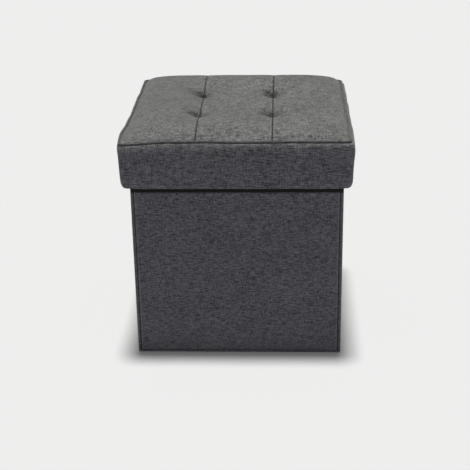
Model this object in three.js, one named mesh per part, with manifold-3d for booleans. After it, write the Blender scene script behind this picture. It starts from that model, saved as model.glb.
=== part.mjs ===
// Storage ottoman: a fabric-covered folding cube with a padded lift-off lid.
//
// Millimetres, +Z up, the front faces -Y, origin at the centre of the underside.
// The lid lifts straight off. The base board hinges up along its rear edge, after which
// the side walls fold inward at a middle crease and the front wall comes back flat.

import * as THREE from 'three';
import { mergeVertices } from 'three/addons/utils/BufferGeometryUtils.js';
import Module from 'manifold-3d';

const wasm = await Module();
wasm.setup();

// ---------------------------------------------------------------- driving dimensions

// Overall
const lidWidth = 380;         // X, over the lid's band
const lidDepth = 380;         // Y, over the lid's band
const seamHeight = 391;       // middle of the piping above the floor
const lidDrop = 81;           // from the middle of the piping down to the lid's lower edge
const crownRise = 13;         // middle of the top cover above the middle of the piping

// Clearances
const touchGap = 0.3;         // between pieces that touch
const lidClearance = 2.7;     // lid rail to wall, on each side
const coverClearance = 1.2;   // foam to the top cover over it
const tieClearance = 0.4;     // tuft tie to the hole it passes through
const slotClearance = 1.2;    // raised base board to the walls before and behind it
const boardClearance = 1.5;   // base board to the side walls, on each side

// Walls
const wallCover = 1.5;        // linen with its thin wadding
const wallBoard = 3;
const wallLining = 0.9;
const rimHeight = 6;          // fabric binding over a wall's upper edge
const cornerRadius = 4;       // outer edge of a corner roll

// Base
const bottomSheet = 0.8;      // fabric under the base board
const baseBoard = 3;
const baseBoardLining = 0.6;
const baseCornerRadius = 6;
const hingeStripHeight = 1.6;
const hingeStripInset = 10;   // from the base board's side edges
const ribbonWidth = 24;
const ribbonLength = 20;      // of the flat loop that lies in the base board's front edge
const ribbonThickness = 0.8;
const ribbonClearance = 1;    // loop to the recess round it, on each side

// Lid
const lidBoard = 6;
const lidLining = 0.8;
const railThickness = 5;
const bandThickness = 4;      // linen over a thin padding, outside the rails
const bandHem = 2;            // band below the rail's lower edge
const foamEdge = 26.5;        // foam height along its edges
const topCover = 1.5;
const pipingRadius = 2.4;
const pipingCornerRadius = 9; // bend of the piping at the lid's corners
const crownPower = 4;         // how square the crown is: 2 is a dome, 8 is nearly flat
const seamOffset = 62;        // the two front-to-back seams, from the middle
const tuftOffset = 60;        // the tufts on each seam, from the middle
const tieRadius = 1.2;

// How finely curved surfaces are divided
const crownCellSize = 18;
const roundSides = 12;
const bendSteps = 4;          // in each quarter bend of an outline

// ---------------------------------------------------------------- levels and half sizes

const halfLidX = lidWidth / 2;
const halfLidY = lidDepth / 2;

const lidBottom = seamHeight - lidDrop;
const bandTop = seamHeight - pipingRadius - touchGap;
const foamTopEdge = bandTop - touchGap;
const foamBottom = foamTopEdge - foamEdge;
const lidBoardTop = foamBottom - touchGap;
const lidBoardBottom = lidBoardTop - lidBoard;
const lidLiningTop = lidBoardBottom - touchGap;
const lidLiningBottom = lidLiningTop - lidLining;
const topCoverEdge = foamTopEdge + coverClearance;
const crownHeight = seamHeight + crownRise - topCover - topCoverEdge;

const halfBandInX = halfLidX - bandThickness;
const halfBandInY = halfLidY - bandThickness;
const halfRailOutX = halfBandInX - touchGap;
const halfRailOutY = halfBandInY - touchGap;
const halfRailInX = halfRailOutX - railThickness;
const halfRailInY = halfRailOutY - railThickness;
const halfTopX = halfLidX - 2 * pipingRadius - touchGap;
const halfTopY = halfLidY - 2 * pipingRadius - touchGap;

const halfBodyX = halfRailInX - lidClearance;
const halfBodyY = halfRailInY - lidClearance;
const wallThickness = wallCover + wallBoard + wallLining + 2 * touchGap;
const innerX = halfBodyX - wallThickness;
const innerY = halfBodyY - wallThickness;

const baseBoardBottom = bottomSheet + touchGap;
const baseBoardTop = baseBoardBottom + baseBoard;
const baseStackTop = baseBoardTop + touchGap + baseBoardLining;
const baseStack = baseStackTop - baseBoardBottom;
const wallBottom = baseStackTop + touchGap;
const wallTop = lidLiningBottom - touchGap;

// The raised base board stands between the rear wall and the folded side walls, so the
// side walls' corner hinges lie forward of the rear wall by its slot.
const boardSlot = baseStack + 2 * slotClearance;
const hingeY = innerY - boardSlot;
const baseHingeY = innerY - boardSlot / 2;
const halfBaseX = innerX - boardClearance;

// ---------------------------------------------------------------- materials

const linen = new THREE.MeshStandardMaterial({ color: 0x46464a, roughness: 0.95, metalness: 0 });
const lining = new THREE.MeshStandardMaterial({ color: 0x1f1f21, roughness: 1, metalness: 0 });
const fibreboard = new THREE.MeshStandardMaterial({ color: 0xa88a64, roughness: 0.85, metalness: 0 });
const foam = new THREE.MeshStandardMaterial({ color: 0xe4dcc4, roughness: 1, metalness: 0 });
const ribbon = new THREE.MeshStandardMaterial({ color: 0x18181a, roughness: 0.7, metalness: 0 });
const thread = new THREE.MeshStandardMaterial({ color: 0x3a3a3e, roughness: 0.8, metalness: 0 });

// ---------------------------------------------------------------- helpers

function namedMesh(name, geometry, material) {
  const mesh = new THREE.Mesh(geometry, material);
  mesh.name = name;
  return mesh;
}

/** A box between its lowest and highest corners, placed by its position. */
function boxBetween(name, material, low, high) {
  const size = high.map((value, axis) => value - low[axis]);
  const middle = high.map((value, axis) => (value + low[axis]) / 2);
  const mesh = namedMesh(name, new THREE.BoxGeometry(...size), material);
  mesh.position.set(...middle);
  return mesh;
}

/** An outline drawn in XY and extruded upward from Z = 0. */
function prism(shape, depth) {
  const options = { depth, bevelEnabled: false, curveSegments: bendSteps };
  return new THREE.ExtrudeGeometry(shape, options);
}

/** A prism placed between two levels. */
function extrudeBetween(name, material, shape, bottom, top) {
  const mesh = namedMesh(name, prism(shape, top - bottom), material);
  mesh.position.z = bottom;
  return mesh;
}

function roundedRectangle(halfX, halfY, radius) {
  const shape = new THREE.Shape();
  shape.moveTo(-halfX + radius, -halfY);
  shape.lineTo(halfX - radius, -halfY);
  shape.quadraticCurveTo(halfX, -halfY, halfX, -halfY + radius);
  shape.lineTo(halfX, halfY - radius);
  shape.quadraticCurveTo(halfX, halfY, halfX - radius, halfY);
  shape.lineTo(-halfX + radius, halfY);
  shape.quadraticCurveTo(-halfX, halfY, -halfX, halfY - radius);
  shape.lineTo(-halfX, -halfY + radius);
  shape.quadraticCurveTo(-halfX, -halfY, -halfX + radius, -halfY);
  return shape;
}

function solidFrom(geometry) {
  const bare = new THREE.BufferGeometry();
  bare.setAttribute('position', geometry.attributes.position.clone());
  bare.setIndex(geometry.index);
  const merged = mergeVertices(bare, 1e-4);
  return new wasm.Manifold(new wasm.Mesh({
    numProp: 3,
    vertProperties: Float32Array.from(merged.attributes.position.array),
    triVerts: Uint32Array.from(merged.index.array),
  }));
}

function geometryFrom(solid) {
  const { vertProperties, triVerts } = solid.getMesh();
  const result = new THREE.BufferGeometry();
  result.setAttribute('position', new THREE.BufferAttribute(vertProperties, 3));
  result.setIndex(new THREE.BufferAttribute(triVerts, 1));
  return result;
}

// ---------------------------------------------------------------- walls

/**
 * One flat wall segment, drawn along local X from start to end with its outer face on
 * local Y = 0 and its inner face at Y = wallThickness.
 */
function wallSegment(name, start, end) {
  const group = new THREE.Group();
  const sheetTop = wallTop - rimHeight - touchGap;
  const sheets = [
    ['cover', linen, wallCover],
    ['board', fibreboard, wallBoard],
    ['lining', lining, wallLining],
  ];
  let outer = 0;
  for (const [part, material, thickness] of sheets) {
    const low = [start, outer, wallBottom];
    const high = [end, outer + thickness, sheetTop];
    group.add(boxBetween(`${name}_${part}`, material, low, high));
    outer += thickness + touchGap;
  }
  const rimLow = [start, 0, wallTop - rimHeight];
  group.add(boxBetween(`${name}_rim`, linen, rimLow, [end, wallThickness, wallTop]));
  return group;
}

/** The padded roll along a vertical corner; its outer edge is rounded. */
function cornerRoll(end, side) {
  const sideX = side === 'left' ? -1 : 1;
  const endY = end === 'front' ? -1 : 1;
  const insideX = innerX * sideX;
  const outsideX = halfBodyX * sideX;
  const insideY = (hingeY + touchGap / 2) * endY;
  const outsideY = halfBodyY * endY;
  const shape = new THREE.Shape();
  shape.moveTo(insideX, insideY);
  shape.lineTo(outsideX, insideY);
  shape.lineTo(outsideX, outsideY - cornerRadius * endY);
  shape.quadraticCurveTo(outsideX, outsideY, outsideX - cornerRadius * sideX, outsideY);
  shape.lineTo(insideX, outsideY);
  shape.closePath();
  return extrudeBetween(`corner_roll_${end}_${side}`, linen, shape, wallBottom, wallTop);
}

function endWall(end) {
  const group = wallSegment(`${end}_wall`, -innerX + touchGap, innerX - touchGap);
  group.position.y = end === 'front' ? -halfBodyY : halfBodyY;
  group.rotation.z = end === 'front' ? 0 : Math.PI;
  return group;
}

/** A side wall is two segments that meet at the middle crease. */
function sideWall(side) {
  const group = new THREE.Group();
  const atCrease = touchGap / 2;
  const atCorner = hingeY - touchGap / 2;
  const turnsForward = side === 'left';
  const front = turnsForward ? [atCrease, atCorner] : [-atCorner, -atCrease];
  const rear = turnsForward ? [-atCorner, -atCrease] : [atCrease, atCorner];
  group.add(wallSegment(`${side}_front_wall`, ...front));
  group.add(wallSegment(`${side}_rear_wall`, ...rear));
  group.position.x = turnsForward ? -halfBodyX : halfBodyX;
  group.rotation.z = turnsForward ? -Math.PI / 2 : Math.PI / 2;
  return group;
}

function walls() {
  const group = new THREE.Group();
  for (const end of ['front', 'rear']) {
    group.add(endWall(end), cornerRoll(end, 'left'), cornerRoll(end, 'right'));
  }
  group.add(sideWall('left'), sideWall('right'));
  return group;
}

// ---------------------------------------------------------------- base

/** A shallow tray of fabric: the bottom sheet and the hem the walls are sewn to. */
function bottomCover() {
  const hemTop = wallBottom - touchGap;
  const insideX = halfBodyX - wallCover;
  const insideY = halfBodyY - wallCover;
  const outside = prism(roundedRectangle(halfBodyX, halfBodyY, cornerRadius), hemTop);
  const inside = prism(roundedRectangle(insideX, insideY, cornerRadius), hemTop);
  inside.translate(0, 0, bottomSheet);
  const tray = solidFrom(outside).subtract(solidFrom(inside));
  return namedMesh('bottom_cover', geometryFrom(tray), linen);
}

/** The base board's outline, with a recess for the pull loop in its front edge. */
function baseOutline() {
  const shape = new THREE.Shape();
  const radius = baseCornerRadius;
  const halfRecess = ribbonWidth / 2 + ribbonClearance;
  const recessY = -baseHingeY + ribbonLength + touchGap;
  shape.moveTo(-halfBaseX + radius, -baseHingeY);
  shape.lineTo(-halfRecess, -baseHingeY);
  shape.lineTo(-halfRecess, recessY);
  shape.lineTo(halfRecess, recessY);
  shape.lineTo(halfRecess, -baseHingeY);
  shape.lineTo(halfBaseX - radius, -baseHingeY);
  shape.quadraticCurveTo(halfBaseX, -baseHingeY, halfBaseX, -baseHingeY + radius);
  shape.lineTo(halfBaseX, baseHingeY);
  shape.lineTo(-halfBaseX, baseHingeY);
  shape.lineTo(-halfBaseX, -baseHingeY + radius);
  shape.quadraticCurveTo(-halfBaseX, -baseHingeY, -halfBaseX + radius, -baseHingeY);
  return shape;
}

/** A flat loop of ribbon lying in the recess, drawn in section and extruded along X. */
function pullLoop() {
  const height = baseBoard;
  const outline = roundedRectangle(ribbonLength / 2, height / 2, height / 3);
  const hollowX = ribbonLength / 2 - ribbonThickness;
  const hollowY = height / 2 - ribbonThickness;
  outline.holes.push(new THREE.Path(roundedRectangle(hollowX, hollowY, hollowY / 2).getPoints(3)));
  const mesh = namedMesh('pull_loop', prism(outline, ribbonWidth), ribbon);
  mesh.rotation.set(Math.PI / 2, 0, Math.PI / 2, 'ZXY');
  mesh.position.set(
    -ribbonWidth / 2, -baseHingeY + ribbonLength / 2, baseBoardBottom + height / 2);
  return mesh;
}

function base() {
  const group = new THREE.Group();
  group.add(bottomCover());
  group.add(extrudeBetween('base_board', fibreboard, baseOutline(), baseBoardBottom, baseBoardTop));
  const liningBottom = baseBoardTop + touchGap;
  group.add(extrudeBetween('base_board_lining', lining, baseOutline(), liningBottom, baseStackTop));
  group.add(pullLoop());
  const halfStrip = halfBaseX - hingeStripInset;
  const stripLow = [-halfStrip, baseHingeY + touchGap, baseBoardBottom];
  const stripRear = halfBodyY - wallCover - touchGap;
  const stripHigh = [halfStrip, stripRear, baseBoardBottom + hingeStripHeight];
  group.add(boxBetween('base_hinge_strip', lining, stripLow, stripHigh));
  return group;
}

// ---------------------------------------------------------------- lid

const tufts = [];
for (const [end, endY] of [['front', -1], ['rear', 1]]) {
  for (const [side, sideX] of [['left', -1], ['right', 1]]) {
    tufts.push({ name: `${end}_${side}`, x: seamOffset * sideX, y: tuftOffset * endY });
  }
}

/** Rise of the crowned top over its edge: nothing at the piping, full in the middle. */
function crownAt(x, y) {
  const acrossX = Math.max(0, 1 - Math.abs(x / halfTopX) ** crownPower);
  const acrossY = Math.max(0, 1 - Math.abs(y / halfTopY) ** crownPower);
  return crownHeight * acrossX * acrossY;
}

/** The solid with a vertical hole right through it for each tuft tie. */
function withTieHoles(solid) {
  const radius = tieRadius + tieClearance;
  let rest = solid;
  for (const { x, y } of tufts) {
    const hole = new THREE.CylinderGeometry(radius, radius, 2 * seamHeight, roundSides);
    hole.rotateX(Math.PI / 2);
    hole.translate(x, y, seamHeight);
    rest = rest.subtract(solidFrom(hole));
  }
  return rest;
}

/** A slab divided in cells whose vertices above a level follow the crown. */
function crownedSlab(lowX, highX, halfY, bottom, top, liftAbove) {
  const width = highX - lowX;
  const cellsX = Math.ceil(width / crownCellSize);
  const cellsY = Math.ceil(2 * halfY / crownCellSize);
  const geometry = new THREE.BoxGeometry(width, 2 * halfY, top - bottom, cellsX, cellsY, 1);
  geometry.translate((lowX + highX) / 2, 0, (bottom + top) / 2);
  const position = geometry.attributes.position;
  for (let i = 0; i < position.count; i += 1) {
    const z = position.getZ(i);
    if (z > liftAbove) position.setZ(i, z + crownAt(position.getX(i), position.getY(i)));
  }
  return geometry;
}

function lidTop() {
  const group = new THREE.Group();
  const halfGap = touchGap / 2;
  const panels = [
    ['left', -halfTopX, -seamOffset - halfGap],
    ['centre', -seamOffset + halfGap, seamOffset - halfGap],
    ['right', seamOffset + halfGap, halfTopX],
  ];
  const insidePiping = solidFrom(
    prism(roundedRectangle(halfTopX, halfTopY, pipingCornerRadius), 2 * seamHeight));
  for (const [name, lowX, highX] of panels) {
    const top = topCoverEdge + topCover;
    const slab = solidFrom(
      crownedSlab(lowX, highX, halfTopY, topCoverEdge, top, foamTopEdge));
    const panel = withTieHoles(slab.intersect(insidePiping));
    group.add(namedMesh(`lid_top_${name}`, geometryFrom(panel), linen));
  }
  const pad = solidFrom(crownedSlab(
    -halfRailOutX, halfRailOutX, halfRailOutY, foamBottom, foamTopEdge, foamBottom));
  group.add(namedMesh('lid_foam', geometryFrom(withTieHoles(pad)), foam));
  return group;
}

function tuftTies() {
  const group = new THREE.Group();
  for (const { name, x, y } of tufts) {
    const top = topCoverEdge + topCover + crownAt(x, y);
    const length = top - lidBoardBottom;
    const tie = new THREE.CylinderGeometry(tieRadius, tieRadius, length, roundSides);
    const mesh = namedMesh(`lid_tuft_tie_${name}`, tie, thread);
    mesh.rotation.x = Math.PI / 2;
    mesh.position.set(x, y, lidBoardBottom + length / 2);
    group.add(mesh);
  }
  return group;
}

/** The piping: one cord round the lid, its section an octagon made by the bevel. */
function piping() {
  const ring = roundedRectangle(halfLidX, halfLidY, pipingCornerRadius);
  const insideX = halfLidX - 2 * pipingRadius;
  const insideY = halfLidY - 2 * pipingRadius;
  const insideRadius = pipingCornerRadius - 2 * pipingRadius;
  const inside = roundedRectangle(insideX, insideY, insideRadius);
  ring.holes.push(new THREE.Path(inside.getPoints(bendSteps)));
  const bevel = pipingRadius * (2 - Math.SQRT2);
  const geometry = new THREE.ExtrudeGeometry(ring, {
    depth: 2 * (pipingRadius - bevel),
    bevelThickness: bevel,
    bevelSize: bevel,
    bevelOffset: -bevel,
    bevelSegments: 1,
    curveSegments: bendSteps,
  });
  const mesh = namedMesh('lid_piping', geometry, linen);
  mesh.position.z = seamHeight - pipingRadius + bevel;
  return mesh;
}

/** Four strips round the lid: front and rear run the full width, the sides fit between. */
function stripsRound(name, material, outX, outY, inX, inY, bottom, top) {
  const group = new THREE.Group();
  const sideY = inY - touchGap;
  group.add(boxBetween(`${name}_front`, material, [-outX, -outY, bottom], [outX, -inY, top]));
  group.add(boxBetween(`${name}_rear`, material, [-outX, inY, bottom], [outX, outY, top]));
  group.add(boxBetween(`${name}_left`, material, [-outX, -sideY, bottom], [-inX, sideY, top]));
  group.add(boxBetween(`${name}_right`, material, [inX, -sideY, bottom], [outX, sideY, top]));
  return group;
}

function lidFrame() {
  const group = new THREE.Group();
  const halfBoardX = halfRailInX - touchGap;
  const halfBoardY = halfRailInY - touchGap;
  const board = new THREE.BoxGeometry(2 * halfBoardX, 2 * halfBoardY, lidBoard);
  board.translate(0, 0, lidBoardBottom + lidBoard / 2);
  const drilled = geometryFrom(withTieHoles(solidFrom(board)));
  group.add(namedMesh('lid_board', drilled, fibreboard));
  group.add(boxBetween('lid_lining', lining,
    [-halfBoardX, -halfBoardY, lidLiningBottom], [halfBoardX, halfBoardY, lidLiningTop]));
  group.add(stripsRound('lid_rail', fibreboard, halfRailOutX, halfRailOutY,
    halfRailInX, halfRailInY, lidBottom + bandHem, lidBoardTop));
  group.add(stripsRound('lid_band', linen, halfLidX, halfLidY,
    halfBandInX, halfBandInY, lidBottom, bandTop));
  return group;
}

function lid() {
  const group = new THREE.Group();
  group.add(lidFrame(), lidTop(), tuftTies(), piping());
  return group;
}

// ---------------------------------------------------------------- whole object

const ottoman = new THREE.Group();
ottoman.add(base(), walls(), lid());

export default ottoman;
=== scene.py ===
"""Looks of the folding storage ottoman: linen upholstery, lining, boards, stage and camera.

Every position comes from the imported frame. Lengths are in metres.
"""
import math

import bpy
import numpy as np
from mathutils import Matrix, Vector


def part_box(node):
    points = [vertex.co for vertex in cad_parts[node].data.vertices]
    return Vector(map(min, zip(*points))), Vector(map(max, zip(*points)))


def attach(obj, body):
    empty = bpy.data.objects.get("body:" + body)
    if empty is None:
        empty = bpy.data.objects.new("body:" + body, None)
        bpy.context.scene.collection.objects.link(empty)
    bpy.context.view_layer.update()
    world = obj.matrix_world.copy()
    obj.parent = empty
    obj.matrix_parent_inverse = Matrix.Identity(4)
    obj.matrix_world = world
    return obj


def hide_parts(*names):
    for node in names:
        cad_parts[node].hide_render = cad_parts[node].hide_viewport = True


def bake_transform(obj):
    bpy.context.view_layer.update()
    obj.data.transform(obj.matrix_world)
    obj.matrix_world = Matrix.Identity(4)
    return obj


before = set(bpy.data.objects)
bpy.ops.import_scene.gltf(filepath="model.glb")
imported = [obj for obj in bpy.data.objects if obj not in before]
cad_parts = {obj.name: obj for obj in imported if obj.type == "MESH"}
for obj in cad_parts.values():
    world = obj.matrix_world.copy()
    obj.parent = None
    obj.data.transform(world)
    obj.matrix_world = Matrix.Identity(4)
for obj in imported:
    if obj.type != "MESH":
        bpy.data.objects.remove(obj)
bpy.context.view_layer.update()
MM = 0.001

# ---------- places from the frame


def low(node):
    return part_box(node)[0]


def high(node):
    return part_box(node)[1]


LID_X = high("lid_band_front").x          # outer faces of the band
LID_Y = high("lid_band_rear").y
LID_BOTTOM = low("lid_band_front").z
RAIL_IN_X = low("lid_rail_right").x
RAIL_IN_Y = low("lid_rail_rear").y
LINING_Z = low("lid_lining").z            # underside of the lid's lining
LID_BOARD_Z = low("lid_board").z
FOAM_Z = low("lid_foam").z
PIPING_R = (high("lid_piping").z - low("lid_piping").z) / 2
SEAM_Z = (high("lid_piping").z + low("lid_piping").z) / 2 + 1.5 * MM     # as sewn
TOP_X = high("lid_top_right").x           # edge of the top cover, inside the piping
TOP_Y = high("lid_top_centre").y
CROWN_Z = high("lid_top_centre").z
TIE = {(end, side): (low(f"lid_tuft_tie_{end}_{side}") + high(f"lid_tuft_tie_{end}_{side}")) / 2
       for end in ("front", "rear") for side in ("left", "right")}
TUFT_Y = TIE["rear", "right"].y
SEAM_LEFT = TIE["rear", "left"].x - 4 * MM        # the top was sewn a little to the left
SEAM_RIGHT = TIE["rear", "right"].x - 2.5 * MM
SEWN_FORWARD = 5 * MM     # and its tufts a little forward
TUFTS = [(x, y - SEWN_FORWARD) for x in (SEAM_LEFT, SEAM_RIGHT) for y in (-TUFT_Y, TUFT_Y)]

BODY_X = high("corner_roll_rear_right").x
BODY_Y = high("corner_roll_rear_right").y
WALL_BOTTOM = low("front_wall_cover").z
WALL_TOP = high("front_wall_rim").z
INNER_X = low("corner_roll_rear_right").x
WALL = BODY_Y - low("rear_wall_lining").y         # thickness of a covered wall
ROLL_Y = low("corner_roll_rear_right").y

# ---------- small numeric helpers


def smooth(t):
    """0 below 0, 1 above 1, and a smooth step between."""
    t = np.clip(t, 0.0, 1.0)
    return t * t * (3 - 2 * t)


def ripples(seed, waves, shortest, longest):
    """A smooth random height field of two coordinates: a few sine waves, between -1 and 1."""
    random = np.random.default_rng(seed)
    length = np.exp(random.uniform(math.log(shortest), math.log(longest), waves))
    turn = random.uniform(0, 2 * math.pi, waves)
    phase = random.uniform(0, 2 * math.pi, waves)

    def height(u, v):
        total = 0
        for size, angle, start in zip(length, turn, phase):
            along = u * math.cos(angle) + v * math.sin(angle)
            total = total + np.sin(2 * math.pi * along / size + start)
        return total / waves
    return height


def cloth_lines(start, end, step, rolls=(0, 0.3, 0.7, 1.2, 1.9, 3.0, 5.0)):
    """Grid lines from start to end: close together in the millimetres next to each end."""
    near = np.array(rolls) * MM
    middle = np.linspace(start + near[-1], end - near[-1],
                         max(2, round((end - start) / step)))[1:-1]
    return np.concatenate([start + near, middle, (end - near)[::-1]])


def roll_depth(distance, radius, tuck):
    """How far a sheet's edge turns in at a distance from it: a quarter round, then a tuck."""
    inside = np.clip(radius - distance, 0, radius)
    depth = radius - np.sqrt(np.maximum(radius ** 2 - inside ** 2, 0))
    return depth + np.where(distance < 1e-6, tuck, 0)


def run_along(rows):
    """Length along a line of points, from its first one."""
    return np.concatenate([[0], np.cumsum(np.linalg.norm(np.diff(rows, axis=0), axis=1))])


def lattice(u, v):
    return np.meshgrid(u, v, indexing="ij")


def resample(values, old, new):
    """Values on evenly spaced lines along their first axis, read at new places by cubics."""
    step = old[1] - old[0]
    place = np.clip((new - old[0]) / step, 0, len(old) - 1 - 1e-9)
    index = place.astype(int)
    t = (place - index).reshape(-1, *[1] * (values.ndim - 1))
    at = [values[np.clip(index + k, 0, len(old) - 1)] for k in (-1, 0, 1, 2)]
    return (at[1] + 0.5 * t * (at[2] - at[0] + t * (
        2 * at[0] - 5 * at[1] + 4 * at[2] - at[3] + t * (
            3 * (at[1] - at[2]) + at[3] - at[0]))))


def rounded_loop(half_x, half_y, radius, step, bend_steps=10):
    """Points, outward normals and lengths round a rectangle with round corners, from the
    middle of the rear side."""
    centres = [(-1, 1, 90), (-1, -1, 180), (1, -1, 270), (1, 1, 0)]
    points, normals = [], []
    for sign_x, sign_y, first in centres:
        middle = Vector((sign_x * (half_x - radius), sign_y * (half_y - radius)))
        for angle in np.radians(np.linspace(first, first + 90, bend_steps)):
            normal = Vector((math.cos(angle), math.sin(angle)))
            points.append(middle + normal * radius)
            normals.append(normal)
    points = [Vector((0, half_y))] + points
    normals = [Vector((0, 1))] + normals
    dense_points, dense_normals = [], []
    for k, here in enumerate(points):
        there = points[(k + 1) % len(points)]
        turn = normals[(k + 1) % len(points)]
        parts = max(1, round((there - here).length / step))
        for part in range(parts):
            dense_points.append(here.lerp(there, part / parts))
            dense_normals.append(normals[k].lerp(turn, part / parts).normalized())
    at, out = np.array(dense_points), np.array(dense_normals)
    return at, out, run_along(np.concatenate([at, at[:1]]))


# ---------- making meshes


def add_object(name, data):
    made = bpy.data.objects.new(name, data)
    bpy.context.scene.collection.objects.link(made)
    return made


def piece(name, points, faces, corner_places, materials, face_slots=None, shade_and_wear=None):
    """A smooth mesh object. corner_places holds the cloth's own coordinates at each corner."""
    mesh = bpy.data.meshes.new(name)
    mesh.from_pydata([tuple(p) for p in points], [], faces)
    place = mesh.attributes.new("cloth", "FLOAT_VECTOR", "CORNER")
    place.data.foreach_set("vector", np.asarray(corner_places, np.float32).ravel())
    wear_and_shade = mesh.attributes.new("wear_and_shade", "FLOAT", "POINT")
    # per-point values of wear together with painted shade and painted light
    values = np.zeros(len(points)) if shade_and_wear is None else shade_and_wear
    wear_and_shade.data.foreach_set("value", np.asarray(values, np.float32).ravel())
    for material in materials:
        mesh.materials.append(material)
    if face_slots is not None:
        mesh.polygons.foreach_set("material_index", np.asarray(face_slots, np.int32))
    mesh.polygons.foreach_set("use_smooth", np.ones(len(faces), bool))
    mesh.update()
    return add_object(name, mesh)


def grid_faces(count_u, count_v, wrap_u, wrap_v):
    """Quads of a grid, with the grid lines at each of their corners."""
    u, v = lattice(np.arange(count_u - (not wrap_u)), np.arange(count_v - (not wrap_v)))
    u, v = u.ravel(), v.ravel()
    line_u = np.stack([u, u + 1, u + 1, u], 1)
    line_v = np.stack([v, v, v + 1, v + 1], 1)
    faces = (line_u % count_u) * count_v + line_v % count_v
    return faces, line_u, line_v


def grid_piece(name, points, u, v, materials, wrap_u=False, wrap_v=False, seed=0,
               flip=False, face_slot=None, shade_and_wear=None):
    """A grid of points as one mesh. u and v are the cloth's coordinates of its lines."""
    count_u, count_v = points.shape[:2]
    faces, line_u, line_v = grid_faces(count_u, count_v, wrap_u, wrap_v)
    shift = np.random.default_rng(seed).uniform(-1, 1, 3)
    places = np.stack([np.asarray(u)[line_u] + shift[0], np.asarray(v)[line_v] + shift[1],
                       np.full(line_u.shape, shift[2])], -1)
    if flip:
        faces, places = faces[:, ::-1], places[:, ::-1]
    slots = None if face_slot is None else face_slot(line_u[:, 0], line_v[:, 0])
    return piece(name, points.reshape(-1, 3), faces.tolist(), places, materials, slots, shade_and_wear)


def thicken(made, thickness, offset=-1.0):
    solid = made.modifiers.new("thickness", "SOLIDIFY")
    solid.thickness = thickness
    solid.offset = offset
    return made


def tube_points(path, radius, sides):
    """Rings round a path of points, with a radius for each point."""
    path = np.asarray(path, float)
    ahead = np.gradient(path, axis=0)
    ahead /= np.linalg.norm(ahead, axis=1)[:, None]
    helper = np.where(np.abs(ahead[:, 2:3]) > 0.9, [[1.0, 0, 0]], [[0, 0, 1.0]])
    side = np.cross(ahead, helper)
    side /= np.linalg.norm(side, axis=1)[:, None]
    up = np.cross(side, ahead)
    angle = np.linspace(0, 2 * math.pi, sides, endpoint=False)[None, :]
    radius = np.broadcast_to(radius, len(path))[:, None, None]
    return path[:, None] + radius * (np.cos(angle)[..., None] * side[:, None]
                                     + np.sin(angle)[..., None] * up[:, None])


def add_tube(points, faces, places, path, radius, sides, spacing):
    """Adds a capped tube to lists of points, faces and corner places. spacing is the cloth's
    length between two rings and between two sides."""
    first = len(points)
    points += list(tube_points(path, radius, sides).reshape(-1, 3))
    quads, line_u, line_v = grid_faces(len(path), sides, False, True)
    faces += (quads + first).tolist()
    places += list(np.stack([line_u * spacing[0], line_v * spacing[1], line_u * 0.0], -1)
                   .reshape(-1, 3))
    last = first + (len(path) - 1) * sides
    faces += [[first + k for k in range(sides)][::-1], [last + k for k in range(sides)]]
    places += [(0, 0, 0)] * (2 * sides)


def capsules(name, ends, radius, material):
    """Short round-ended threads between pairs of points, as one mesh."""
    points, faces, places = [], [], []
    along = np.array([0, 0.12, 0.5, 0.88, 1])[:, None]
    swell = np.array([0.25, 0.8, 1, 0.8, 0.25]) * radius
    for start, end in ends:
        add_tube(points, faces, places, start + along * (end - start), swell, 6,
                 (1 * MM, 0.5 * MM))
    return piece(name, points, faces, places, [material])


def settle(made, body, slot, *nodes):
    """The piece rides on a body and stands for CAD nodes, which are hidden. Its slot is not
    used.
    """
    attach(made, body)
    if nodes:
        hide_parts(*nodes)
    return made


# ---------- materials


class Nodes:
    """Builds a material's nodes with short calls."""

    def __init__(self, name):
        self.material = bpy.data.materials.new(name)
        self.material.use_nodes = True
        self.tree = self.material.node_tree
        self.shader = self.tree.nodes["Principled BSDF"]

    def add(self, kind, values=(), **settings):
        made = self.tree.nodes.new(f"ShaderNode{kind}")
        for key, value in settings.items():
            setattr(made, key, value)
        for socket, value in zip(made.inputs, values):
            self.put(socket, value)
        return made

    def put(self, socket, value):
        if isinstance(value, bpy.types.NodeSocket):
            self.tree.links.new(value, socket)
        elif value is not None:
            socket.default_value = value

    def math(self, operation, *values):
        return self.add("Math", values, operation=operation).outputs[0]

    def weighted(self, *parts, start=0.0):
        """A sum of values, each times its weight, added to a start."""
        for value, weight in parts:
            start = self.math("MULTIPLY_ADD", value, weight, start)
        return start

    def attribute(self, name, output):
        return self.add("Attribute", attribute_name=name).outputs[output]

    def noise(self, vector, scale, detail=2.0, roughness=0.5):
        made = self.add("TexNoise")
        self.put(made.inputs["Vector"], vector)
        made.inputs["Scale"].default_value = scale
        made.inputs["Detail"].default_value = detail
        made.inputs["Roughness"].default_value = roughness
        return made.outputs["Fac"]

    def ramp(self, factor, stops):
        made = self.add("ValToRGB")
        self.put(made.inputs["Fac"], factor)
        band = made.color_ramp
        while len(band.elements) < len(stops):
            band.elements.new(0.5)
        for element, (place, colour) in zip(band.elements, stops):
            element.position = place
            element.color = (*colour, 1)
        return made.outputs["Color"]

    def cloth(self):
        return self.attribute("cloth", "Vector")

    def threads(self, size_u, size_v, detail, roughness=0.5, shift=0.0):
        """Noise in the cloth's own coordinates, with flecks of two lengths."""
        made = self.add("Mapping", [self.cloth()])
        made.inputs["Scale"].default_value = (1 / size_u, 1 / size_v, 40)
        made.inputs["Location"].default_value = (shift, shift, shift)
        return self.noise(made.outputs["Vector"], 1.0, detail, roughness)

    def finish(self, colour, roughness, height=None, distance=0.0002, strength=1.0):
        self.put(self.shader.inputs["Base Color"], colour)
        self.put(self.shader.inputs["Roughness"], roughness)
        if height is not None:
            bump = self.add("Bump")
            bump.inputs["Strength"].default_value = strength
            bump.inputs["Distance"].default_value = distance
            self.put(bump.inputs["Height"], height)
            self.put(self.shader.inputs["Normal"], bump.outputs["Normal"])
        return self.material


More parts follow.
